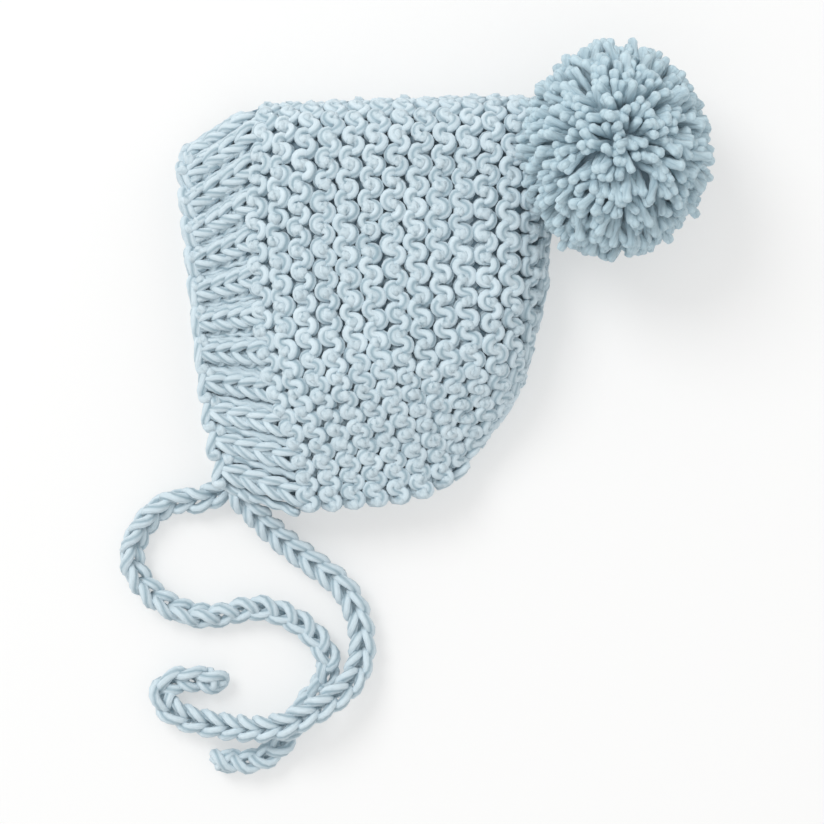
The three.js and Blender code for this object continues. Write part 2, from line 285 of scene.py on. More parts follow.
def chain_tie(name, route, rolls, tone):
    """A tie of chain stitches. rolls are (share of the length, degrees) that turn its front aside."""
    centre = smooth_line(route, ROUTE_SAMPLES)
    ahead = frames_along(centre)[0]
    side = np.cross(ahead, (0.0, 0.0, 1.0))
    side /= np.linalg.norm(side, axis=1)[:, None]
    up = np.cross(side, ahead)
    along = lengths_along(centre)
    stitches = int(along[-1] / CHAIN_PITCH) - 1
    pitch = along[-1] / (stitches + KNOT_ROOM)
    yarn = []
    for stitch in range(stitches):
        for step, aside, lift in CHAIN_LOOP:
            yarn.append(((stitch + step) * pitch, aside * CHAIN_HALF_WIDTH, lift * CHAIN_HALF_DEPTH))
    for step, aside, lift in CHAIN_KNOT:
        yarn.append(((stitches - 1 + step) * pitch, aside * CHAIN_HALF_WIDTH, lift * CHAIN_HALF_DEPTH))
    yarn = smooth_line(yarn, (stitches + 1) * CHAIN_SAMPLES)

    def place(values):
        """Values given along the centre line, read where the yarn is."""
        return np.stack([np.interp(yarn[:, 0], along, values[:, k]) for k in range(3)], axis=-1)

    roll = np.radians(np.interp(yarn[:, 0] / along[-1], *zip(*rolls)))[:, None]
    across = place(side) * np.cos(roll) + place(up) * np.sin(roll)
    front = place(up) * np.cos(roll) - place(side) * np.sin(roll)
    points = place(centre) + across * yarn[:, 1:2] + front * yarn[:, 2:3]
    pile = YarnPile(YARN_SIDES)
    pile.lay(points, YARN_RADIUS, tone=tone)
    tie = pile.mesh(name)
    return tie, centre, along[-1]


tie_upper, upper_line, upper_length = chain_tie(
    "tie_upper_chain", UPPER_TIE, rolls=[(0, -15), (0.5, 10), (0.8, 0), (1, -40)], tone=0.55)
tie_lower, lower_line, lower_length = chain_tie(
    "tie_lower_chain", LOWER_TIE, rolls=[(0, 0), (0.15, 60), (0.35, 30), (0.5, 110), (0.75, 150), (1, 60)],
    tone=0.5)
print("ties:", round(upper_length, 3), "m and", round(lower_length, 3), "m")

# %% [markdown]
# ## The surface that the knitting lies on
# Seen from above, the hood has four edges: the crown fold, the back seam, the neck and the face. Its two
# layers meet at the first two. This is the same outline and the same rounding that the frame's hood
# has, so that yarn laid on it fits the frame. Every distance is worked out from those edges.

# %% Edges of the hood, in metres
CROWN = [(-0.1175, 0.058), (-0.102, 0.0685), (-0.0875, 0.077), (-0.065, 0.0795), (-0.020, 0.0815),
         (0.021, 0.082), (0.059, 0.079)]
SEAM = [(0.059, 0.079), (0.056, 0.058), (0.049, 0.024), (0.046, -0.005), (0.042, -0.023), (0.035, -0.048),
        (0.022, -0.069), (0.010, -0.0825)]
NECK = [(-0.100, -0.0905), (-0.092, -0.096), (-0.082, -0.099), (-0.0705, -0.1015), (-0.0604, -0.1028),
        (-0.0335, -0.1005), (-0.011, -0.097), (0.005, -0.088), (0.010, -0.0825)]
FACE = [(-0.1175, 0.058), (-0.1155, 0.035), (-0.1135, 0.008), (-0.1105, -0.028), (-0.1055, -0.0635),
        (-0.100, -0.0905)]
JOIN = [(-0.0875, 0.077), (-0.092, 0.029), (-0.0905, -0.001), (-0.0875, -0.032), (-0.082, -0.0545),
        (-0.075, -0.073), (-0.071, -0.091), (-0.0705, -0.1015)]
EDGE_SAMPLES = 60
crown, seam, neck, face, join = (
    smooth_line(edge, EDGE_SAMPLES) for edge in (CROWN, SEAM, NECK, FACE, JOIN))
for title, edge in (("crown fold", crown), ("back seam", seam), ("neck", neck), ("face", face)):
    print(title, "is", round(lengths_along(edge)[-1], 3), "m long")

# %% Height of either layer over the table
WALL = 0.008
FOLD_HEIGHT, FOLD_REACH = 0.014, 0.028
MIDDLE_HEIGHT, RIM_HEIGHT, RIM_REACH = 0.044, 0.027, 0.062
PEAK_LIFT, PEAK_REACH = 0.013, 0.072
PEAK_TOP_SHARE = 0.25  # the upper layer rises less over the peak than the lower one


def distance_to(edge, points):
    """Distance in plan from each point to a line of edge points."""
    a, run = edge[:-1], np.diff(edge, axis=0)
    off = points[:, None, :] - a[None]
    t = np.clip((off * run).sum(-1) / (run**2).sum(-1), 0, 1)
    return np.sqrt(((off - t[..., None] * run) ** 2).sum(-1)).min(1)


def ease(t):
    t = np.clip(t, 0, 1)
    return t * t * (3 - 2 * t)


def quarter_round(t):
    return np.sqrt(1 - (1 - np.clip(t, 0, 1)) ** 2)


def heights(points, inset, folds=("crown", "seam")):
    """Heights of the fold, the upper layer and the lower layer, inset by that much into the knitting."""
    full = np.ones(len(points))
    for name, edge in (("crown", crown), ("seam", seam)):
        if name in folds:
            full = full * quarter_round((distance_to(edge, points) - inset) / (FOLD_REACH - inset))
    lift = PEAK_LIFT * (1 - ease(np.linalg.norm(points - seam[0], axis=1) / PEAK_REACH))
    climb = ease(distance_to(face, points) / RIM_REACH) * ease(distance_to(neck, points) / RIM_REACH)
    fold = FOLD_HEIGHT + lift
    top = RIM_HEIGHT + (MIDDLE_HEIGHT - RIM_HEIGHT) * climb + lift * PEAK_TOP_SHARE - inset
    bottom = inset + lift
    return fold, fold + (top - fold) * full, fold + (bottom - fold) * full


def set_in(edge, step):
    """An edge moved sideways in plan: to its right for a positive step."""
    run = np.gradient(edge, axis=0)
    right = np.column_stack([run[:, 1], -run[:, 0]])
    return edge + right / np.linalg.norm(right, axis=1)[:, None] * step


hood_middle = np.array([(-0.02, -0.01)])
print("middle of the hood: fold, top and bottom at", [round(float(z[0]), 4) for z in heights(hood_middle, 0)])

# %% A line of knitting over both layers, through the fold
NUDGE = 0.0002  # step for working out a slope


def lifted(plan, inset, upper):
    """Places plan points on one layer, with the outward normal at each."""
    pick = 1 if upper else 2
    z = heights(plan, inset)[pick]
    slope = [(heights(plan + d, inset)[pick] - heights(plan - d, inset)[pick]) / (2 * NUDGE)
             for d in (np.array([NUDGE, 0]), np.array([0, NUDGE]))]
    normal = np.stack([-slope[0], -slope[1], np.ones(len(plan))], axis=-1) * (1 if upper else -1)
    normal /= np.linalg.norm(normal, axis=1)[:, None]
    return np.column_stack([plan, z]), normal


def across_of(points, normals):
    """The direction that lies across a line, in the surface."""
    ahead = np.gradient(points, axis=0)
    across = np.cross(normals, ahead)
    return across / (np.linalg.norm(across, axis=1)[:, None] + 1e-12)


class KnitLine:
    """A line on the knitting: points, outward normals and cross directions by distance along it."""

    def __init__(self, points, normals, start=0.0):
        self.along = lengths_along(points) + start
        self.table = np.hstack([points, normals, across_of(points, normals)])

    def at(self, distance, aside, out):
        """Points at a distance along, moved aside and outwards."""
        row = np.stack([np.interp(distance, self.along, self.table[:, k]) for k in range(9)], axis=-1)
        aside, out = np.asarray(aside)[:, None], np.asarray(out)[:, None]
        return row[:, 0:3] + row[:, 6:9] * aside + row[:, 3:6] * out


def both_layers(plan, inset, outer=True):
    """A knit line up the lower layer, round the crown fold and down the upper one, 0 at the fold."""
    upper, upper_normal = lifted(plan, inset, True)
    lower, lower_normal = lifted(plan, inset, False)
    points = np.vstack([lower[:0:-1], upper])
    normals = np.vstack([lower_normal[:0:-1], upper_normal]) * (1 if outer else -1)
    return KnitLine(points, normals, start=-lengths_along(lower)[-1])


neck_normal = lifted(neck[len(neck) // 2:len(neck) // 2 + 1], WALL / 2, True)[1]
print("the upper layer faces", np.round(neck_normal[0], 2), "at the middle of the neck")

# %% [markdown]
# ## Where the ridges of garter stitch run
# The strip was knitted from the face backwards, so its ridges run beside the join with the band, one
# after another, from the neck up over the crown fold and down the other side. They keep their distance
# on the curved surface, not on the plan, so we measure lengths along cross-sections of the hood.

# %% A plan line for each ridge
RIDGE_FIRST = 0.0095  # from the join to the middle of the first ridge
RIDGE_PITCH = 0.0102
RIDGE_COUNT = 17
NECK_END, CROWN_END = -0.1030, 0.0825  # the hood's reach in Y
SECTIONS, SECTION_POINTS = 170, 150

section_y = np.linspace(NECK_END, CROWN_END, SECTIONS)
join_x = np.interp(section_y, join[::-1, 1], join[::-1, 0])
back_x = np.interp(section_y, seam[::-1, 1], seam[::-1, 0])
to_back = np.sin(np.linspace(0, math.pi / 2, SECTION_POINTS))  # closest together at the seam
section_x = join_x[:, None] + (back_x - join_x)[:, None] * to_back[None, :]
section_points = np.stack([section_x, np.broadcast_to(section_y[:, None], section_x.shape)], axis=-1)
section_z = heights(section_points.reshape(-1, 2), 0.0, folds=("seam",))[1].reshape(section_x.shape)
section_steps = np.hypot(np.diff(section_x, axis=1), np.diff(section_z, axis=1))
section_arc = np.hstack([np.zeros((len(section_y), 1)), np.cumsum(section_steps, axis=1)])
print("from the join to the seam over the surface:", round(section_arc[:, -1].max(), 3), "m at most")

# %% Plan points of one ridge
FINE_STEPS = 700  # for finding where a ridge enters and leaves the hood
FEWEST_STEPS = 20  # a ridge shorter than this many steps is left out
HALVINGS = 24


def ridge_x(distance, y):
    """How far along X a ridge lies at each y, from its distance to the join over the surface."""
    at = np.array([np.interp(distance, arc, x) for arc, x in zip(section_arc, section_x)])
    return np.interp(y, section_y, at)


def ridge_room(distance, y, inset):
    """How far inside the inset outline a ridge is at each y, negative outside."""
    plan = np.column_stack([ridge_x(distance, y), y])
    past_neck = y - np.interp(plan[:, 0], neck[:, 0], neck[:, 1])
    below_crown = np.interp(plan[:, 0], crown[:, 0], crown[:, 1]) - y
    to_crown = np.where(below_crown > 0, distance_to(crown, plan), -1)
    return np.minimum(np.minimum(to_crown - inset, distance_to(seam, plan) - inset), past_neck)


def ridge_plan(distance, inset, samples=260):
    """Plan points of a ridge, from the crown to the neck or the seam, closest together at its ends."""
    y = np.linspace(section_y[-1], section_y[0], FINE_STEPS)
    room = ridge_room(distance, y, inset)
    held = np.flatnonzero(room > 0)
    if len(held) < FEWEST_STEPS:
        return None
    first, last = held[0], held[0] + np.argmin(np.append(room[held[0]:] > 0, False)) - 1
    ends = []
    for inside_y, outside_y in ((y[first], y[max(first - 1, 0)]), (y[last], y[min(last + 1, len(y) - 1)])):
        for _ in range(HALVINGS):
            middle = (inside_y + outside_y) / 2
            if ridge_room(distance, np.array([middle]), inset)[0] > 0:
                inside_y = middle
            else:
                outside_y = middle
        ends.append(inside_y)
    spread = (1 - np.cos(np.linspace(0, math.pi, samples))) / 2
    y = ends[0] + (ends[1] - ends[0]) * spread
    return np.column_stack([ridge_x(distance, y), y])


first_ridge = ridge_plan(RIDGE_FIRST, WALL / 2)
print("the first ridge runs from", np.round(first_ridge[0], 3), "to", np.round(first_ridge[-1], 3))

# %% [markdown]
# ## Garter stitches
# In a ridge of garter stitch the yarn swings from side to side. It comes up in the middle, bends round
# the left side, crosses over, bends round the right side, and dives in the middle again under the
# next stitch. So one stitch is one S of yarn. We give it as a few points, counted in stitches along the
# ridge, in ridge widths to the side, and outwards. A small seeded wobble on each keeps it handmade.

# %% One S of yarn and the pitch of the stitches
STITCH_PITCH, STITCH_PITCH_LOW = 0.0098, 0.0079
GARTER_YARN = 0.0026  # stitches of the garter lie a little flatter and wider than the bare yarn
PITCH_CHANGE = (0.115, 0.135)  # distance from the crown fold over which stitches get smaller
OUTER_INSET = YARN_RADIUS
INNER_INSET = WALL - YARN_RADIUS
LONGEST_RIDGE = 0.32

# along the ridge in stitches, to the side in ridge pitches, outwards in metres
GARTER_S = [
    (0.09, 0.14, -0.0056), (0.04, 0.06, -0.0034), (0.00, -0.06, -0.0006), (0.02, -0.20, 0.0004),
    (0.11, -0.300, 0.0005), (0.25, -0.330, 0.0005), (0.39, -0.300, 0.0005), (0.485, -0.18, 0.0003),
    (0.50, 0.00, 0.0000), (0.515, 0.18, 0.0003), (0.61, 0.300, 0.0005), (0.75, 0.330, 0.0005),
    (0.89, 0.300, 0.0005), (0.98, 0.20, 0.0000), (1.01, 0.08, -0.0016), (1.05, -0.04, -0.0040),
    (1.10, -0.12, -0.0056),
]
S_REACH = 0.50  # from the start of an S to its middle, in stitches
END_REACH = 0.3  # how far the last stitch may pass the edge, in stitches

distances = [0.0]
while distances[-1] < LONGEST_RIDGE:
    low = np.interp(distances[-1], PITCH_CHANGE, (0, 1))
    distances.append(distances[-1] + STITCH_PITCH + (STITCH_PITCH_LOW - STITCH_PITCH) * low)
stitch_numbers = np.arange(len(distances), dtype=float)
print("a ridge of", LONGEST_RIDGE, "m would take", len(distances) - 1, "stitches on one layer")

# %% Lay one ridge, stitch by stitch
WOBBLE_ALONG, WOBBLE_ASIDE, WOBBLE_OUT = 0.02, 0.015, 0.0003
WOBBLE_THICKNESS, WOBBLE_TONE = 0.05, 0.16


def stitch_count(end):
    """Whole stitches between the crown fold and the end of a ridge."""
    return max(1, round(np.interp(end, distances, stitch_numbers)))


def stitch_distance(number, line):
    """Distance along a ridge of a stitch number, 0 at the fold, stretched so that the last stitch fits."""
    where = np.zeros_like(number)
    for layer, end in ((1, line.along[-1]), (-1, -line.along[0])):
        count = stitch_count(end)
        share = np.interp(np.clip(layer * number, 0, count + END_REACH), stitch_numbers, distances)
        where = where + layer * share * end / np.interp(count, stitch_numbers, distances)
    return where


def lay_ridge(piles, line, pitch_at, steps, rng, radius=GARTER_YARN):
    """Lays every S of one ridge, over the upper pile's layer and the lower pile's."""
    upper_pile, lower_pile = piles
    first = -stitch_count(-line.along[0]) if line.along[0] < 0 else 0
    for number in range(first, stitch_count(line.along[-1])):
        wobble = rng.normal(0, 1, 5)
        shape = np.array(GARTER_S)
        shape[:, 0] += number + WOBBLE_ALONG * wobble[0]
        shape[:, 1] += WOBBLE_ASIDE * wobble[1]
        shape[:, 2] += WOBBLE_OUT * wobble[2]
        shape = smooth_line(shape, steps)
        along = stitch_distance(shape[:, 0], line)
        points = line.at(along, shape[:, 1] * pitch_at(along), shape[:, 2])
        pile = upper_pile if number + S_REACH > 0 else lower_pile
        thickness = radius * (1 + WOBBLE_THICKNESS * wobble[3])
        pile.lay(points, thickness, turn=rng.uniform(0, 2 * math.pi),
                 tone=np.clip(0.5 + WOBBLE_TONE * wobble[4], 0, 1))


def pitch_over(along, lean):
    """Gives the ridge pitch by distance from the fold: less where a ridge runs aslant in plan."""
    return lambda distance: RIDGE_PITCH * np.interp(np.abs(distance), along, lean)


# %% Lay the garter stitch
STITCH_STEPS = 21  # rings of yarn to one stitch
INNER_SIDES, INNER_STEPS = 8, 13  # the inside is hardly seen, so its yarn is plainer

rng = np.random.default_rng(11)
upper_pile, lower_pile = YarnPile(YARN_SIDES), YarnPile(YARN_SIDES)
inner_pile = YarnPile(INNER_SIDES)
for ridge in range(RIDGE_COUNT):
    distance = RIDGE_FIRST + RIDGE_PITCH * ridge
    for inset, outer in ((OUTER_INSET, True), (INNER_INSET, False)):
        plan = ridge_plan(distance, inset)
        if plan is None:
            continue
        line = both_layers(plan, inset, outer)
        slope = np.gradient(plan, axis=0)
        lean = np.abs(slope[:, 1]) / (np.linalg.norm(slope, axis=1) + 1e-12)
        pitch_at = pitch_over(line.along[len(plan) - 1:], lean)
        if outer:
            lay_ridge((upper_pile, lower_pile), line, pitch_at, STITCH_STEPS, rng)
        else:
            lay_ridge((inner_pile, inner_pile), line, pitch_at, INNER_STEPS, rng)

# %% The sewn edge up the back, which lies on the fold between the layers
seam_plan = set_in(seam, OUTER_INSET)
seam_out = (seam - seam_plan) / OUTER_INSET
seam_points = np.column_stack([seam_plan, heights(seam_plan, OUTER_INSET)[0]])
seam_line = KnitLine(seam_points, np.column_stack([seam_out, np.zeros(len(seam))]))
lay_ridge((upper_pile, upper_pile), seam_line, lambda distance: RIDGE_PITCH, STITCH_STEPS, rng)
garter_upper = upper_pile.mesh("garter_upper")
garter_lower = lower_pile.mesh("garter_lower")
garter_inside = inner_pile.mesh("garter_inside")

# %% [markdown]
# ## The ribbed band
# A rib is a column of knit stitches that stand up between sunk purl ones. Each knit stitch shows as a
# V of two arms. These columns run across the band, so on this bonnet the Vs point at the face edge.
# Between the ribs lies one length of yarn, deep in the groove, for the purl stitches. Along the face
# edge every rib ends in a cast-on loop.

# %% Lines of the ribs
RIB_COUNT = 12  # ribs on each layer
RIB_OVERLAP = 0.0075  # how far the ribs run on past the join, up to the first garter ridge
FIRST_RIB_SHIFT = 0.15  # how far, in ribs, the one on the fold lies inside it
FIRST_RIB_SHORT = 0.0015  # and how much shorter it is, because it turns the corner
STITCHES_PER_RIB = 4
CAST_ON_DEPTH = 0.0030

LAST_RIB_ROOM = 0.38  # how far, in ribs, the middle of the last one lies inside the neck edge
BAND_SAMPLES, RIB_SAMPLES = 500, 60

RIB_HALF_WIDTH = 0.0028  # from a rib's middle line to the middle of the yarn at its sides
RIB_HALF_DEPTH = 0.0022
RIB_RISE = -0.0006
RIB_YARN = 0.0022
RIB_USUAL_WIDTH = 0.0120


def edge_at(edge, t):
    """Points on an edge, for t from 0 at its start to 1 at its end."""
    return np.stack([np.interp(t * (len(edge) - 1), range(len(edge)), edge[:, k]) for k in range(2)], axis=-1)


def rib_lines(inset, upper, outer=True):
    """Knit lines of the ribs on one layer, each from the join out to the face edge, with its pitches.
    The first rib of the upper layer lies on the crown fold itself."""
    t = np.linspace(0, 1, BAND_SAMPLES)
    join_at, face_at = edge_at(join, t), edge_at(face, t)
    middle = (join_at + face_at) / 2
    clear = distance_to(crown, middle) > inset
    join_at, face_at = join_at[clear], face_at[clear]
    arc = lengths_along(lifted(middle[clear], inset, upper)[0])
    widths = [lengths_along(edge)[-1] / (RIB_COUNT - 1) for edge in (join, face)]
    lines = []
    for number in range(0 if upper else 1, RIB_COUNT):
        at = max(number, FIRST_RIB_SHIFT) * arc[-1] / (RIB_COUNT - 1 + LAST_RIB_ROOM)
        start = np.array([np.interp(at, arc, join_at[:, k]) for k in range(2)])
        finish = np.array([np.interp(at, arc, face_at[:, k]) for k in range(2)])
        back = (start - finish) / np.linalg.norm(start - finish)
        start = start + back * (RIB_OVERLAP if number else 0)
        finish = finish + back * (0 if number else FIRST_RIB_SHORT)
        plan = start + np.linspace(0, 1, RIB_SAMPLES)[:, None] * (finish - start)
        points, normals = lifted(plan, inset, upper)
        line = KnitLine(points, normals * (1 if outer else -1))
        lines.append((line, widths))
    return lines


example_line, example_widths = rib_lines(OUTER_INSET, True)[RIB_COUNT // 2]
print("a rib is", round(example_line.along[-1], 4), "m long and", np.round(example_widths, 4), "m wide")

# %% Lay one rib
RIB_WOBBLE, RIB_TONE_WOBBLE = 0.05, 0.14
RIB_START = 0.25  # how much of the first stitch lies under the cast-on loop
GROOVE_DEPTH, GROOVE_WAVE, GROOVE_SWAY = 0.0026, 0.0005, 0.0004

# out past the rib's end in cast-on depths, to the side in rib pitches, outwards in metres
CAST_ON_LOOP = [
    (-0.3, -0.36, -0.0050), (0.5, -0.46, -0.0022), (1.0, -0.22, -0.0004),
    (1.0, 0.22, -0.0004), (0.5, 0.46, -0.0022), (-0.3, 0.36, -0.0050),
]


def lay_rib(pile, line, widths, steps, rng):
    """The chain of Vs of one rib, its cast-on loop, and the sunk yarn in the groove on its far side."""
    length = line.along[-1]
    pitch = (length - CAST_ON_DEPTH) / STITCHES_PER_RIB

    def width_at(distance):
        """Width of the rib at a distance from the join."""
        return np.interp(distance, (0, length), widths)

    chain = []
    for stitch in range(STITCHES_PER_RIB):
        wobble = rng.normal(0, RIB_WOBBLE, 3)
        chain += [(stitch + step + wobble[0], aside * (1 + wobble[1]), lift + wobble[2])
                  for step, aside, lift in CHAIN_LOOP]
    chain = smooth_line(chain, steps * STITCHES_PER_RIB)
    back = np.maximum(length - CAST_ON_DEPTH - (chain[:, 0] - RIB_START) * pitch, -0.002)
    aside = chain[:, 1] * RIB_HALF_WIDTH * width_at(back) / RIB_USUAL_WIDTH
    pile.lay(line.at(back, aside, RIB_RISE + chain[:, 2] * RIB_HALF_DEPTH), RIB_YARN,
             turn=rng.uniform(0, 2 * math.pi),
             tone=np.clip(0.5 + RIB_TONE_WOBBLE * rng.normal(), 0, 1))
    edge = smooth_line(CAST_ON_LOOP, steps)
    past = length - CAST_ON_DEPTH * (0.9 - edge[:, 0])
    pile.lay(line.at(past, edge[:, 1] * widths[1], edge[:, 2]), YARN_RADIUS, turn=rng.uniform(0, 6),
             tone=np.clip(0.5 + RIB_TONE_WOBBLE * rng.normal(), 0, 1))
    groove = np.linspace(0, length - 0.002, steps)
    wave = np.sin(groove / pitch * 2 * math.pi)
    sunk = -GROOVE_DEPTH + GROOVE_WAVE * wave
    aside = 0.5 * width_at(groove) + GROOVE_SWAY * wave
    # painted shade: the sunk yarn takes a lower tone than the rest because it lies deep in the groove
    pile.lay(line.at(groove, aside, sunk), RIB_YARN * 0.9, tone=0.4)


# %% Lay the band
RIB_STEPS, INNER_RIB_STEPS = 24, 18  # rings of yarn to one stitch of a rib

rib_pile, rib_inner_pile = YarnPile(YARN_SIDES), YarnPile(INNER_SIDES)
for upper in (True, False):
    for line, widths in rib_lines(OUTER_INSET, upper):
        lay_rib(rib_pile, line, widths, RIB_STEPS, rng)
    for line, widths in rib_lines(INNER_INSET, upper, outer=False):
        lay_rib(rib_inner_pile, line, widths, INNER_RIB_STEPS, rng)
band_outside = rib_pile.mesh("band_ribs")
band_inside = rib_inner_pile.mesh("band_inside")

# %% [markdown]
# ## A close layer inside the knitting
# Real knitting shows no daylight between its loops, because each loop has another behind it. A thin
# solid layer in the middle of the wall does that work here. Its dark colour is painted shade for the
# depths between the loops. It is one grid of squares bent over both layers and the crown fold, and
# then given thickness.

# %% Bend a grid into the middle layer
LINING_COLUMNS, LINING_ROWS = 60, 80
LINING_INSET = 0.0054
LINING_THICKNESS = 0.0012
LINING_SHORT = 0.0030  # how far it stops before the face and the neck


def patch(p, q):
    """Plan point for p from the face edge to the seam and q from the crown to the neck."""
    p, q = p[:, None], q[:, None]
    left, right = edge_at(face, q[:, 0]), edge_at(seam, q[:, 0])
    top, bottom = edge_at(crown, p[:, 0]), edge_at(neck, p[:, 0])
    corners = (crown[0] * (1 - p) + crown[-1] * p) * (1 - q) + (neck[0] * (1 - p) + neck[-1] * p) * q
    return left * (1 - p) + right * p + top * (1 - q) + bottom * q - corners


def layer_sheet(name, inset):
    """One grid over both layers, folded at the crown. It stops a little short of the open edges."""
    bm = bmesh.new()
    bmesh.ops.create_grid(bm, x_segments=LINING_COLUMNS, y_segments=LINING_ROWS, size=1)
    spots = np.array([v.co for v in bm.verts])
    p = np.sin((spots[:, 0] + 1) / 2 * math.pi / 2)
    q = 1 - np.cos(np.abs(spots[:, 1]) * math.pi / 2)
    plan = patch(p, q)
    crown_in, seam_in = set_in(crown, -inset), set_in(seam, inset)
    plan[:, 1] = np.minimum(plan[:, 1], np.interp(plan[:, 0], crown_in[:, 0], crown_in[:, 1]))
    plan[:, 0] = np.minimum(plan[:, 0], np.interp(plan[:, 1], seam_in[::-1, 1], seam_in[::-1, 0]))
    plan[:, 0] += LINING_SHORT * (1 - p)
    plan[:, 1] += LINING_SHORT * q
    fold, top, bottom = heights(plan, inset)
    z = np.where(spots[:, 1] > 0, top, bottom)
    z = np.where(np.abs(spots[:, 1]) < 1e-6, fold, z)
    for vert, (x, y), up in zip(bm.verts, plan, z):
        vert.co = (x, y, up)
    bmesh.ops.remove_doubles(bm, verts=bm.verts, dist=0.0002)
    bmesh.ops.recalc_face_normals(bm, faces=bm.faces)
    data = bpy.data.meshes.new(name)
    bm.to_mesh(data)
    bm.free()
    piece = bpy.data.objects.new(name, data)
    scene.collection.objects.link(piece)
    thick = piece.modifiers.new("thickness", "SOLIDIFY")
    thick.thickness = LINING_THICKNESS
    thick.offset = 0
    return piece


lining = layer_sheet("middle_layer", LINING_INSET)
print("middle layer:", len(lining.data.polygons), "faces")

# %% [markdown]
# ## The pompom
# A pompom is a bundle of cut lengths tied round its middle. Every strand starts at that tie, so they all
# point outwards, and the scissors leave stubby ends on a rough ball. The strands are yarn from the same
# helper, spread evenly by the golden angle and then disturbed, and pressed flat where the ball lies.

# %% Strands of the pompom
STRANDS = 1120
STRAND_RADIUS = 0.0022
POMPOM_RADII = np.array([0.0430, 0.0480, 0.0445])
CORE_SHARE = 0.74  # size of the hidden ball that the strands hide, against the pompom
pompom_centre = np.array([0.0745, 0.0548, 0.0435])
pompom_tie = np.array([0.0765, 0.0595, 0.0640])  # the strands fan out from here, above the middle

TURN_ASIDE = 0.07  # how far a strand points off its even place
TIP_REACH, TIP_UNEVEN = 0.955, 0.038  # where the scissors cut, in radii of the pompom
BOW = 0.30
ALONG_STRAND = np.array([0.30, 0.48, 0.64, 0.80, 0.965, 1.0])  # from the tie to the tip
THICKNESS = np.array([0.85, 0.95, 1.0, 1.0, 1.0, 0.80])  # rounded at the tip
# painted shade at the roots of the strands and painted highlight at their tips, as tones along each strand
ROOT_SHADE_TIP_HIGHLIGHT = np.array([-0.6, -0.5, -0.3, 0.1, 0.7, 0.8])  # little light reaches the roots

pompom_rng = np.random.default_rng(5)
pompom_pile = YarnPile(YARN_SIDES, CUT_PLY_LIFT)
golden = math.pi * (3 - math.sqrt(5))
for strand in range(STRANDS):
    height = 1 - 2 * (strand + 0.5) / STRANDS
    ring = math.sqrt(1 - height**2)
    way = np.array([ring * math.cos(golden * strand), ring * math.sin(golden * strand), height])
    way += pompom_rng.normal(0, TURN_ASIDE, 3)
    way /= np.linalg.norm(way)
    tip = pompom_centre + way * POMPOM_RADII * (TIP_REACH + pompom_rng.normal(0, TIP_UNEVEN))
    reach = tip - pompom_tie
    bow = np.cross(reach, pompom_rng.normal(0, 1, 3)) * BOW
    share = ALONG_STRAND[:, None]
    points = pompom_tie + reach * share + bow * (share * (1 - share))
    points[:, 2] = np.maximum(points[:, 2], STRAND_RADIUS * 0.9)
    thickness = STRAND_RADIUS * THICKNESS * (1 + 0.08 * pompom_rng.normal())
    pompom_pile.lay(points, thickness, turn=pompom_rng.uniform(0, 6), blunt=0.35,
                    tone=ROOT_SHADE_TIP_HIGHLIGHT + 0.2 * pompom_rng.normal())
pompom_strands = pompom_pile.mesh("pompom_strands")

# %% Core of the pompom
# the core takes the dark yarn, painted shade for the depths between the strands
bm = bmesh.new()
bmesh.ops.create_uvsphere(bm, u_segments=48, v_segments=24, radius=1)
for vert in bm.verts:
    vert.co = Vector(pompom_centre + np.array(vert.co) * POMPOM_RADII * CORE_SHARE)
data = bpy.data.meshes.new("pompom_core")
bm.to_mesh(data)
bm.free()
pompom_core = bpy.data.objects.new("pompom_core", data)
scene.collection.objects.link(pompom_core)
print("core of the pompom:", len(data.polygons), "faces")

# %% [markdown]
# ## The look of the yarn
# Acrylic yarn scatters light softly and hardly shines. Its colour changes a little from length to
# length. Shade is painted into it as well: the colour is deeper in the grooves between plies and at the
# roots of the pompom, as painted shade, and lighter on the crests of the plies and at the pompom's tips,
# as painted highlight. Fine fibres run along the yarn, so the noise for them is stretched along each
# strand by the coordinates that the yarn helper stored on the mesh.

# %% Yarn material
# the deep colours are painted shade in the ply grooves and at the pompom's roots, and also the low end of
# each length's own tone
YARN_LIGHT = (0.725, 0.842, 0.902, 1)
YARN_DEEP = (0.330, 0.450, 0.515, 1)
POMPOM_LIGHT = (0.605, 0.765, 0.838, 1)
POMPOM_DEEP = (0.240, 0.360, 0.430, 1)
FIBRE_STRETCH = (260, 3.2, 3.2)  # per metre along the yarn, and across it
# the groove weight sets how much painted shade the grooves between plies get
GROOVE_WEIGHT, TONE_WEIGHT, FLECK_WEIGHT = 0.80, 0.35, 0.8
GROOVE_BASE, FLECK_BASE = -0.15, 0.40


def link(tree, output, socket):
    tree.links.new(output, socket)


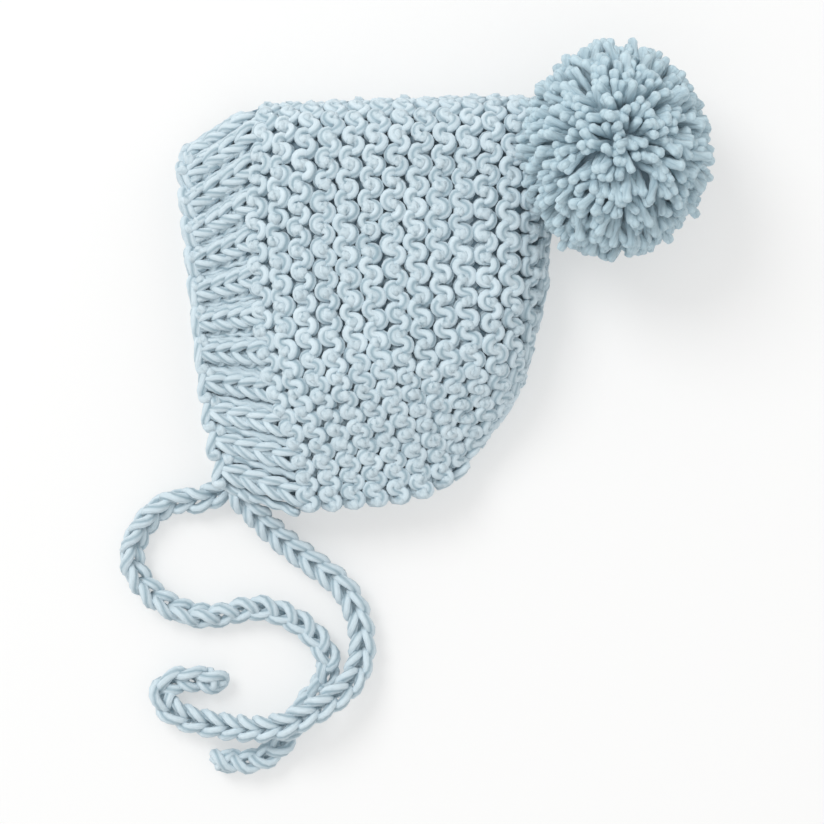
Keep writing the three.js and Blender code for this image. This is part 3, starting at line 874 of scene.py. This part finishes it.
def yarn_material(name, light=YARN_LIGHT, deep=YARN_DEEP):
    """Soft yarn, from its deep colour, a painted shade in the grooves, to its light one, a painted highlight
    on top, with fine fibres.
    """
    material = bpy.data.materials.new(name)
    material.use_nodes = True
    tree = material.node_tree
    shader = tree.nodes["Principled BSDF"]
    shader.inputs["Roughness"].default_value = 0.9
    shader.inputs["Specular IOR Level"].default_value = 0.2
    shader.inputs["Sheen Weight"].default_value = 0.25
    shader.inputs["Sheen Roughness"].default_value = 0.5

    strand = tree.nodes.new("ShaderNodeAttribute")
    strand.attribute_name = "strand"
    stretch = tree.nodes.new("ShaderNodeMapping")
    stretch.inputs["Scale"].default_value = FIBRE_STRETCH
    link(tree, strand.outputs["Vector"], stretch.inputs["Vector"])
    fibre = tree.nodes.new("ShaderNodeTexNoise")
    fibre.inputs["Scale"].default_value = 1.0
    fibre.inputs["Detail"].default_value = 5
    fibre.inputs["Roughness"].default_value = 0.7
    link(tree, stretch.outputs["Vector"], fibre.inputs["Vector"])

    place = tree.nodes.new("ShaderNodeTexCoord")
    fuzz = tree.nodes.new("ShaderNodeTexNoise")
    fuzz.inputs["Scale"].default_value = 900
    fuzz.inputs["Detail"].default_value = 4
    link(tree, place.outputs["Object"], fuzz.inputs["Vector"])

    shade = tree.nodes.new("ShaderNodeAttribute")
    shade.attribute_name = "shade"
    parts = tree.nodes.new("ShaderNodeSeparateXYZ")
    link(tree, shade.outputs["Vector"], parts.inputs["Vector"])

    # painted highlight where the strand stands out, painted shade in its grooves, and lighter where its tone
    # is high
    weigh = tree.nodes.new("ShaderNodeMath")
    weigh.operation = "MULTIPLY_ADD"
    weigh.inputs[1].default_value = GROOVE_WEIGHT
    weigh.inputs[2].default_value = GROOVE_BASE
    link(tree, parts.outputs["Y"], weigh.inputs[0])
    tone = tree.nodes.new("ShaderNodeMath")
    tone.operation = "MULTIPLY_ADD"
    tone.inputs[1].default_value = TONE_WEIGHT
    link(tree, parts.outputs["X"], tone.inputs[0])
    link(tree, weigh.outputs[0], tone.inputs[2])
    fleck = tree.nodes.new("ShaderNodeMath")
    fleck.operation = "MULTIPLY_ADD"
    fleck.inputs[1].default_value = FLECK_WEIGHT
    link(tree, fibre.outputs["Fac"], fleck.inputs[0])
    link(tree, tone.outputs[0], fleck.inputs[2])
    level = tree.nodes.new("ShaderNodeMath")
    level.operation = "SUBTRACT"
    level.inputs[1].default_value = FLECK_BASE
    level.use_clamp = True
    link(tree, fleck.outputs[0], level.inputs[0])
    colour = tree.nodes.new("ShaderNodeMix")
    colour.data_type = "RGBA"
    colour.inputs["A"].default_value = deep
    colour.inputs["B"].default_value = light
    link(tree, level.outputs[0], colour.inputs["Factor"])
    link(tree, colour.outputs["Result"], shader.inputs["Base Color"])

    coarse = tree.nodes.new("ShaderNodeBump")
    coarse.inputs["Distance"].default_value = 0.0009
    coarse.inputs["Strength"].default_value = 0.7
    link(tree, fibre.outputs["Fac"], coarse.inputs["Height"])
    fine = tree.nodes.new("ShaderNodeBump")
    fine.inputs["Distance"].default_value = 0.0004
    fine.inputs["Strength"].default_value = 0.35
    link(tree, fuzz.outputs["Fac"], fine.inputs["Height"])
    link(tree, coarse.outputs["Normal"], fine.inputs["Normal"])
    link(tree, fine.outputs["Normal"], shader.inputs["Normal"])
    return material


knit_yarn = yarn_material("knit_yarn")
band_yarn = yarn_material("band_yarn")
tie_yarn = yarn_material("tie_yarn")
strand_yarn = yarn_material("strand_yarn", light=POMPOM_LIGHT, deep=POMPOM_DEEP)
print("yarn materials:", [material.name for material in (knit_yarn, band_yarn, tie_yarn, strand_yarn)])

# %% Material of the hidden layers: a dark yarn, painted shade
painted_shade_yarn = bpy.data.materials.new("painted_shade_yarn")
painted_shade_yarn.use_nodes = True
tree = painted_shade_yarn.node_tree
shader = tree.nodes["Principled BSDF"]
shader.inputs["Roughness"].default_value = 1.0
place = tree.nodes.new("ShaderNodeTexCoord")
tangle = tree.nodes.new("ShaderNodeTexNoise")
tangle.inputs["Scale"].default_value = 420
ramp = tree.nodes.new("ShaderNodeValToRGB")
# painted shade: a dark yarn colour for the depths of the knitting and the pompom, where only shade falls
ramp.color_ramp.elements[0].color = (0.16, 0.23, 0.28, 1)
ramp.color_ramp.elements[1].color = (0.30, 0.39, 0.45, 1)
link(tree, place.outputs["Object"], tangle.inputs["Vector"])
link(tree, tangle.outputs["Fac"], ramp.inputs["Fac"])
link(tree, ramp.outputs["Color"], shader.inputs["Base Color"])
bump = tree.nodes.new("ShaderNodeBump")
bump.inputs["Distance"].default_value = 0.001
link(tree, tangle.outputs["Fac"], bump.inputs["Height"])
link(tree, bump.outputs["Normal"], shader.inputs["Normal"])
print("hidden layers:", painted_shade_yarn.name)

# %% [markdown]
# ## Finishes and the frame
# Every piece now stands in for one of the plain solids, which it hides, takes its material, and rides
# on the one body there is.

# %% Hand out the finishes and tie every piece to the frame
pieces = [
    (garter_upper, knit_yarn, "garter_knit", "hood"), (garter_lower, knit_yarn, "garter_knit", "hood"),
    (garter_inside, knit_yarn, "garter_knit", "hood"), (lining, painted_shade_yarn, "garter_knit", "hood"),
    (band_outside, band_yarn, "rib_knit", "face_band"), (band_inside, band_yarn, "rib_knit", "face_band"),
    (pompom_strands, strand_yarn, "pompom_yarn", "pompom"),
    (pompom_core, painted_shade_yarn, "pompom_yarn", "pompom"),
    (tie_upper, tie_yarn, "tie_braid", "tie_upper"), (tie_lower, tie_yarn, "tie_braid", "tie_lower"),
]
for piece, material, slot_name, node in pieces:
    piece.data.materials.append(material)
    for polygon in piece.data.polygons:
        polygon.use_smooth = True
    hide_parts(node)
    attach(piece, "root")
print(len(pieces), "pieces ride on the root")

# %% Names of both ties
print("cords:", tie_upper.name, "and", tie_lower.name)

# %% [markdown]
# ## Table and light
# A plain pale table and soft studio light: a wide lamp above the upper left side, and an even bright
# room that fills the shadows. The table glows a little, as a light table does, so that the shadows
# stay faint. They lie to the right and below.

# %% Table
bm = bmesh.new()
bmesh.ops.create_grid(bm, x_segments=1, y_segments=1, size=3)
data = bpy.data.meshes.new("table")
bm.to_mesh(data)
bm.free()
table = bpy.data.objects.new("table", data)
scene.collection.objects.link(table)
table_paint = bpy.data.materials.new("table_paint")
table_paint.use_nodes = True
paint = table_paint.node_tree.nodes["Principled BSDF"]
paint.inputs["Base Color"].default_value = (0.54, 0.54, 0.537, 1)
paint.inputs["Emission Color"].default_value = (1, 1, 0.995, 1)
paint.inputs["Emission Strength"].default_value = 0.40
paint.inputs["Roughness"].default_value = 0.9
paint.inputs["Specular IOR Level"].default_value = 0.1
table.data.materials.append(table_paint)
table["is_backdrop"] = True
print("table:", [round(side, 1) for side in table.dimensions[:2]], "m")

# %% Lamp and room
lamp_data = bpy.data.lights.new("key", "AREA")
lamp_data.shape = "DISK"
lamp_data.size = 1.3
lamp_data.energy = 26
lamp = bpy.data.objects.new("key", lamp_data)
lamp.location = (-1.2, 1.2, 1.9)
lamp.rotation_mode = "QUATERNION"
lamp.rotation_quaternion = (lamp.location - Vector((0, -0.03, 0))).to_track_quat("Z", "Y")
scene.collection.objects.link(lamp)
world = bpy.data.worlds.new("room")
scene.world = world
world.use_nodes = True
sky = world.node_tree.nodes["Background"]
sky.inputs["Color"].default_value = (1.0, 1.0, 1.0, 1)
sky.inputs["Strength"].default_value = 0.82
scene.view_settings.view_transform = "Standard"
print("lamp of", lamp_data.energy, "W in a room of strength", round(sky.inputs["Strength"].default_value, 2))

# %% Sizes and the end of the lesson
low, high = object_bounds()
print("whole piece:", [round(v, 4) for v in low], "to", [round(v, 4) for v in high])
